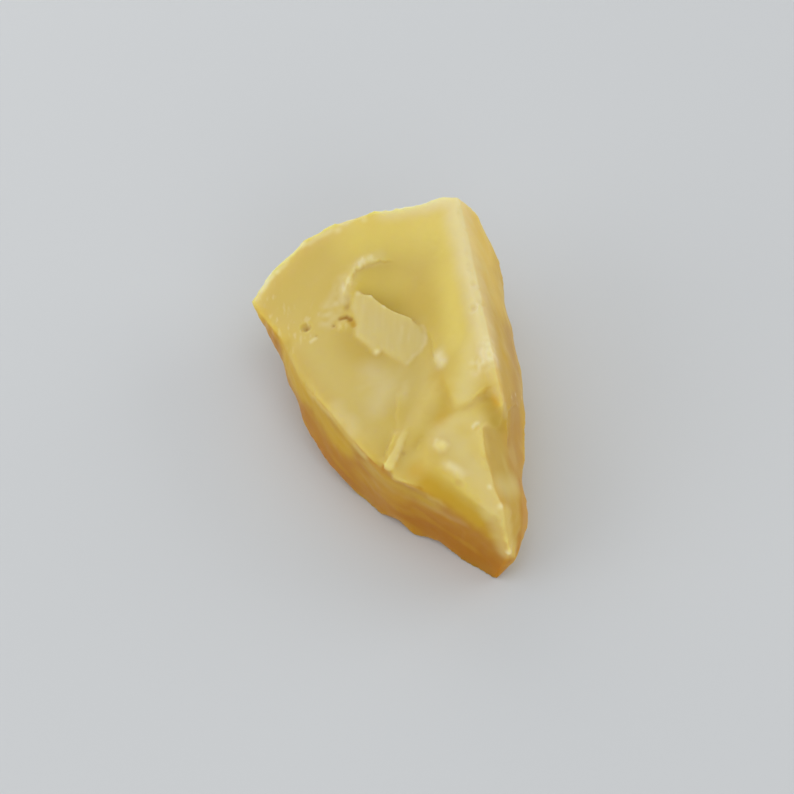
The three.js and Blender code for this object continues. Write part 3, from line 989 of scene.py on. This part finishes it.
def carve_shelf(skin):
    """The button, bits and streaks on the shelf, down to the tail, with painted highlights on some of
    them and on the thin lower edge.
    """
    lip = (
        (-2.4, -11.4, 12.5),
        (-2.7, -12, 12.4),
        (-2.5, -12.7, 12.4),
        (-1.9, -12.9, 12.5),
        (-1.5, -12.6, 12.5),
    )
    button = skin.lump((-2, -12.2, 12.5), 1, 0.08)
    ring = skin.rib(lip, 0.6, 0.12, taper=0)
    skin.mark("lemon", button)
    skin.mark("crumb_and_glint", 0.25 * np.maximum(ring, button))
    skin.mark("gold", 0.7 * skin.lump((2.1, -12, 13.4), 0.5, -0.08))
    # A bit beside the dent, whitened along its top as a painted highlight.
    bit = ((1.5, -11.8, 13.4), (2.2, -11.4, 13.6), (2.9, -11.5, 13.7))
    skin.mark("crumb_and_glint", 0.5 * skin.rib(bit, 0.4, 0.08))
    # A low streak down the shelf, lightened partly as a painted highlight.
    down_shelf = ((-3.2, -13.7, 12.2), (-1.8, -15.3, 11.9), (-0.5, -17, 11.6))
    streak = skin.rib(down_shelf, 1, 0.14, taper=0.4)
    skin.mark("crumb_and_glint", 0.6 * streak)
    skin.mark("lemon", 0.4 * streak)
    # Painted sparkles on small lumps near the tail.
    for place, radius in (
        ((1.8, -20.7, 10.2), 0.6),
        ((1.1, -18.5, 11.2), 0.5),
        ((1.9, -23.1, 5), 0.6),
    ):
        skin.mark("crumb_and_glint", 0.6 * skin.lump(place, radius, 0.12))
    hollow = ((-4.4, -14.6, 10.6), (-2.8, -17, 10), (-1, -19.6, 8.2), (0.6, -21.8, 6))
    skin.rib(hollow, 2, -0.05, taper=0.3)
    # The thin lower edge and its low end are lightened as a painted reflection.
    thin_edge = (
        (-8.5, -11, 8.9),
        (-7.3, -12.5, 9),
        (-6.7, -13.2, 9.2),
        (-5.9, -14, 9),
        (-5.2, -14.6, 8.5),
    )
    skin.mark("milk", 0.4 * skin.rib(thin_edge, 0.5, 0.1, wobble=0.3, taper=0.3))
    low_edge = ((-5.2, -14.6, 8.5), (-4.4, -15.4, 8.1), (-3, -17.1, 7.5))
    skin.mark("milk", 0.3 * skin.rib(low_edge, 0.6, 0.06, wobble=0.5, taper=0.3))


def bowls(points, pitch):
    """Shallow bowls side by side, a pitch wide: 1 in their middles, towards 0 at their rims."""
    return np.array([1 - noise.voronoi(Vector(p) / pitch)[0][0] ** 2 for p in points])


FADE_ROUNDS = 60  # how softly the breaks fade out: the more rounds, the softer


def roughen(skin):
    """Small swells all over, and shell-shaped breaks on what faces back, down and right."""
    skin.push(0.04 * swell(skin.points, 2.2, 13) + 0.015 * swell(skin.points, 0.8, 17))
    behind = smoothstep(0, 0.3, skin.normals() @ (0.3, 0.6, -0.75))
    for _ in range(FADE_ROUNDS):
        behind = skin.around(behind)
    behind *= smoothstep(0, 1.5, skin.points[:, 2]) * (1 - skin.wash(RIM, 3.5, taper=0))
    broken = 0.1 * swell(skin.points, 1.6, 23) + 0.17
    skin.push(behind * (broken - 0.35 * bowls(skin.points, 5.5)))
    skin.smooth(0.5 * behind, 4)


def carve_flanks(skin):
    """Fine striations along the steep sides, and shallow waves spread by the blows."""
    normals = skin.normals()
    steep = smoothstep(0.45, 0.2, np.abs(normals[:, 2])) * smoothstep(1, 3, skin.points[:, 2])
    striations = streaks(skin.points, (0.3, 1, 0.2), pitch=0.9, length=7, seed=7)
    skin.push(0.03 * steep * striations)
    for place, reach, pitch in (
        ((-14, 18, 8), 16, 1.7),
        ((12, 18, 12), 18, 2),
        ((3, -22, 3), 12, 1.4),
    ):
        far = np.linalg.norm(skin.points - skin.land(place), axis=1)
        waves = np.sin(far * math.tau / pitch) * smoothstep(reach, 2, far) * steep
        skin.push(0.03 * waves)
    right = smoothstep(0.4, 0.7, normals[:, 0])
    pleats = streaks(skin.points, (-0.35, -0.68, -0.64), pitch=1.4, length=12, seed=2)
    skin.push(0.05 * right * pleats)
    skin.mark("milk", 0.25 * right * smoothstep(0, 0.5, pleats))
    corner = ((5.2, -13.5, 10), (5.9, -11.5, 10.9), (6.3, -10.4, 12.8), (7.8, -9, 11.8), (9, -8.2, 9.7))
    skin.step(corner, 0.16, 1.6, edge=0.15)
    for place, radius in (
        ((8.5, -7.7, 11.7), 0.4),
        ((9.6, -6.9, 9.9), 0.4),
        ((7.6, -8.6, 12.7), 0.3),
    ):
        skin.mark("crumb_and_glint", 0.5 * skin.lump(place, radius, 0.08))


CHIPS = 160  # small chips knocked off the ridges
# No chips this near to the middle of the flake, or of the streak on the shelf.
FLAKE_MIDDLE = Vector((-1.7, 6.5, 11.7))
FLAKE_RADIUS = 7.5
STREAK_MIDDLE = Vector((-1.7, -14, 12.2))
STREAK_RADIUS = 3


def chip_edges(skin, ridges, rng):
    """Knocks small chips off the sharp ridges, but none near the flake or the shelf's streak."""
    ridges = [place for place in ridges if (place - FLAKE_MIDDLE).length > FLAKE_RADIUS]
    outward = skin.normals()
    for spot in rng.choice(len(ridges), CHIPS, replace=False):
        index = skin.tree.find(ridges[spot])[1]
        place = skin.points[index]
        radius = rng.uniform(0.35, 1.3)
        if place[2] > 1:
            depth = radius * rng.uniform(0.06, 0.14)
            if (Vector(place) - STREAK_MIDDLE).length > STREAK_RADIUS:
                skin.bite(place, outward[index], radius, depth)


CARVINGS = (
    carve_slab,
    carve_pits,
    carve_rim,
    carve_flake,
    carve_fan,
    carve_bank,
    carve_shelf,
    carve_flanks,
)


# ---------------------------------------------------------------------------------------------
# Materials, studio and operators
# ---------------------------------------------------------------------------------------------

# The colours laid over the body one after another, each where the carving marked it.
LAYERS = (
    ("tan", 0.9),
    ("sun", 0.9),
    ("rose", 0.9),
    ("olive", 0.9),
    ("amber", 0.9),
    ("ember", 0.9),
    ("honey", 0.9),
    ("gold", 0.9),
    ("lemon", 0.8),
    ("milk", 0.8),
    ("pale", 0.8),
    ("crumb_and_glint", 0.7),
    ("stain", 0.9),
)


def opal_material(colours):
    tree = Tree("opal")
    place = tree.add("ShaderNodeTexCoord", None, out="Object")
    place = tree.add("ShaderNodeVectorMath", {"operation": "SCALE"}, place, Scale=1 / MM)
    cloud = tree.noise(place, 9, detail=3)
    colour = colours.body
    for name, share in LAYERS:
        colour = tree.mix(tree.mark(name) * share, colour, getattr(colours, name))
    colour = tree.mix(tree.between(cloud, 0.55, 0.8) * 0.25, colour, colours.honey)
    shine = 0.28 + 0.18 * tree.noise(place, 1.5, detail=4)
    relief = tree.noise(place, 0.8, detail=5, rough=0.55)
    bump = tree.add("ShaderNodeBump", None, Strength=0.12, Distance=0.15 * MM, Height=relief)
    skin = tree.add(
        "ShaderNodeBsdfPrincipled",
        {"subsurface_method": "RANDOM_WALK"},
        Base_Color=colour,
        Roughness=shine,
        Normal=bump,
        IOR=1.45,
        Specular_IOR_Level=0.28,
        Subsurface_Weight=1.0,
        Subsurface_Radius=(1.0, 0.92, 0.3),
        Subsurface_Scale=colours.glow_depth,
    )
    tree.add("ShaderNodeOutputMaterial", None, skin)
    return tree.material


FLOOR_SIZE = 3  # metres
FLOOR_DROP = 0.02 * MM  # keeps the floor off the resting face
SKY_COLOUR = (0.95, 0.98, 1, 1)
STONE_MIDDLE = Vector((0, 0, 8)) * MM  # the lamps face it
CAMERA_TARGET = Vector((-0.71, 5.75, 0)) * MM
LAMPS = (
    # name, azimuth and elevation in degrees, share of the power
    ("overhead", 0, 85, 0.10),
    ("front", 0, 20, 0.18),
    ("back", 180, 20, 0.18),
    ("back left", -135, 45, 0.08),
    ("left", -90, 20, 0.20),
    ("right", 90, 15, 0.26),
)


def toward(azimuth, elevation):
    """The way to something seen at that azimuth and elevation. Azimuth 0 is in front."""
    level = math.cos(elevation)
    return Vector((math.sin(azimuth) * level, -math.cos(azimuth) * level, math.sin(elevation)))


def aim(thing, target):
    thing.rotation_mode = "QUATERNION"
    thing.rotation_quaternion = (target - thing.location).to_track_quat("-Z", "Y")


def floor_material(colour):
    tree = Tree("floor")
    skin = tree.add("ShaderNodeBsdfPrincipled", None, Base_Color=colour, Roughness=0.6)
    tree.add("ShaderNodeOutputMaterial", None, skin)
    return tree.material


class OPAL_OT_stone(bpy.types.Operator):
    """Makes the stone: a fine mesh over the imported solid, carved and coloured"""

    bl_idname = "opal.stone"
    bl_label = "Rough opal"

    def execute(self, context):
        settings = context.scene.opal_stone
        noise.seed_set(WOBBLE_SEED)
        shape = welded(NODE)
        ridges = ridge_samples(shape)
        skin = Skin(fine_mesh(shape, settings.grain))
        shape.free()
        even_facets(skin, ridges)
        skin.smooth(0.5, settings.edge_wear)
        round_ridges(skin)
        stroke_colours(skin)
        roughen(skin)
        for carve in CARVINGS:
            carve(skin)
        chip_edges(skin, ridges, np.random.default_rng(settings.seed))
        skin.write()
        stone = bpy.data.objects.new("rough_opal", skin.mesh)
        context.collection.objects.link(stone)
        skin.mesh.shade_smooth()
        stone.data.materials.append(opal_material(context.scene.opal_colours))
        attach(stone, "root")
        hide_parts(NODE)
        return {"FINISHED"}


class OPAL_OT_studio(bpy.types.Operator):
    """Makes the pale floor, the soft lights and the camera"""

    bl_idname = "opal.studio"
    bl_label = "Studio"

    def execute(self, context):
        settings = context.scene.opal_studio
        scene = context.scene
        bpy.ops.mesh.primitive_plane_add(size=FLOOR_SIZE, location=(0, 0, -FLOOR_DROP))
        floor = context.object
        floor.name = "floor"
        floor.data.materials.append(floor_material(settings.floor))

        world = bpy.data.worlds.new("studio")
        world.use_nodes = True
        sky = world.node_tree.nodes["Background"]
        sky.inputs["Color"].default_value = SKY_COLOUR
        sky.inputs["Strength"].default_value = settings.sky
        scene.world = world

        for name, azimuth, elevation, share in LAMPS:
            light = bpy.data.lights.new(name, "AREA")
            light.energy = settings.power * share
            light.size = settings.lamp_size
            lamp = bpy.data.objects.new(name, light)
            context.collection.objects.link(lamp)
            way = toward(math.radians(azimuth), math.radians(elevation))
            lamp.location = STONE_MIDDLE + way * settings.lamp_distance
            aim(lamp, STONE_MIDDLE)

        camera = bpy.data.cameras.new("camera")
        camera.lens = settings.lens
        camera.clip_start = 0.01
        eye = bpy.data.objects.new("camera", camera)
        context.collection.objects.link(eye)
        way = toward(settings.azimuth, settings.elevation)
        eye.location = CAMERA_TARGET + way * settings.distance
        aim(eye, CAMERA_TARGET)
        scene.camera = eye
        scene.view_settings.view_transform = "Standard"
        return {"FINISHED"}


class OPAL_PT_panel(bpy.types.Panel):
    """Lists the stone and its studio"""

    bl_idname = "OPAL_PT_panel"
    bl_label = "Rough opal"
    bl_space_type = "VIEW_3D"
    bl_region_type = "UI"
    bl_category = "Opal"

    def draw(self, context):
        for settings, operator in GROUPS:
            box = self.layout.box()
            for name in settings:
                group = getattr(context.scene, name)
                for prop in group.__annotations__:
                    box.prop(group, prop)
            box.operator(operator)


GROUPS = (
    (("opal_stone", "opal_colours"), "opal.stone"),
    (("opal_studio",), "opal.studio"),
)
SETTINGS = {
    "opal_stone": OpalStoneSettings,
    "opal_colours": OpalColourSettings,
    "opal_studio": OpalStudioSettings,
}
CLASSES = (*SETTINGS.values(), OPAL_OT_stone, OPAL_OT_studio, OPAL_PT_panel)


def register():
    for cls in CLASSES:
        bpy.utils.register_class(cls)
    for name, cls in SETTINGS.items():
        setattr(bpy.types.Scene, name, PointerProperty(type=cls))


def unregister():
    for name in SETTINGS:
        delattr(bpy.types.Scene, name)
    for cls in reversed(CLASSES):
        bpy.utils.unregister_class(cls)


def main():
    register()
    bpy.ops.opal.stone()
    bpy.ops.opal.studio()


if __name__ == "__main__":
    main()
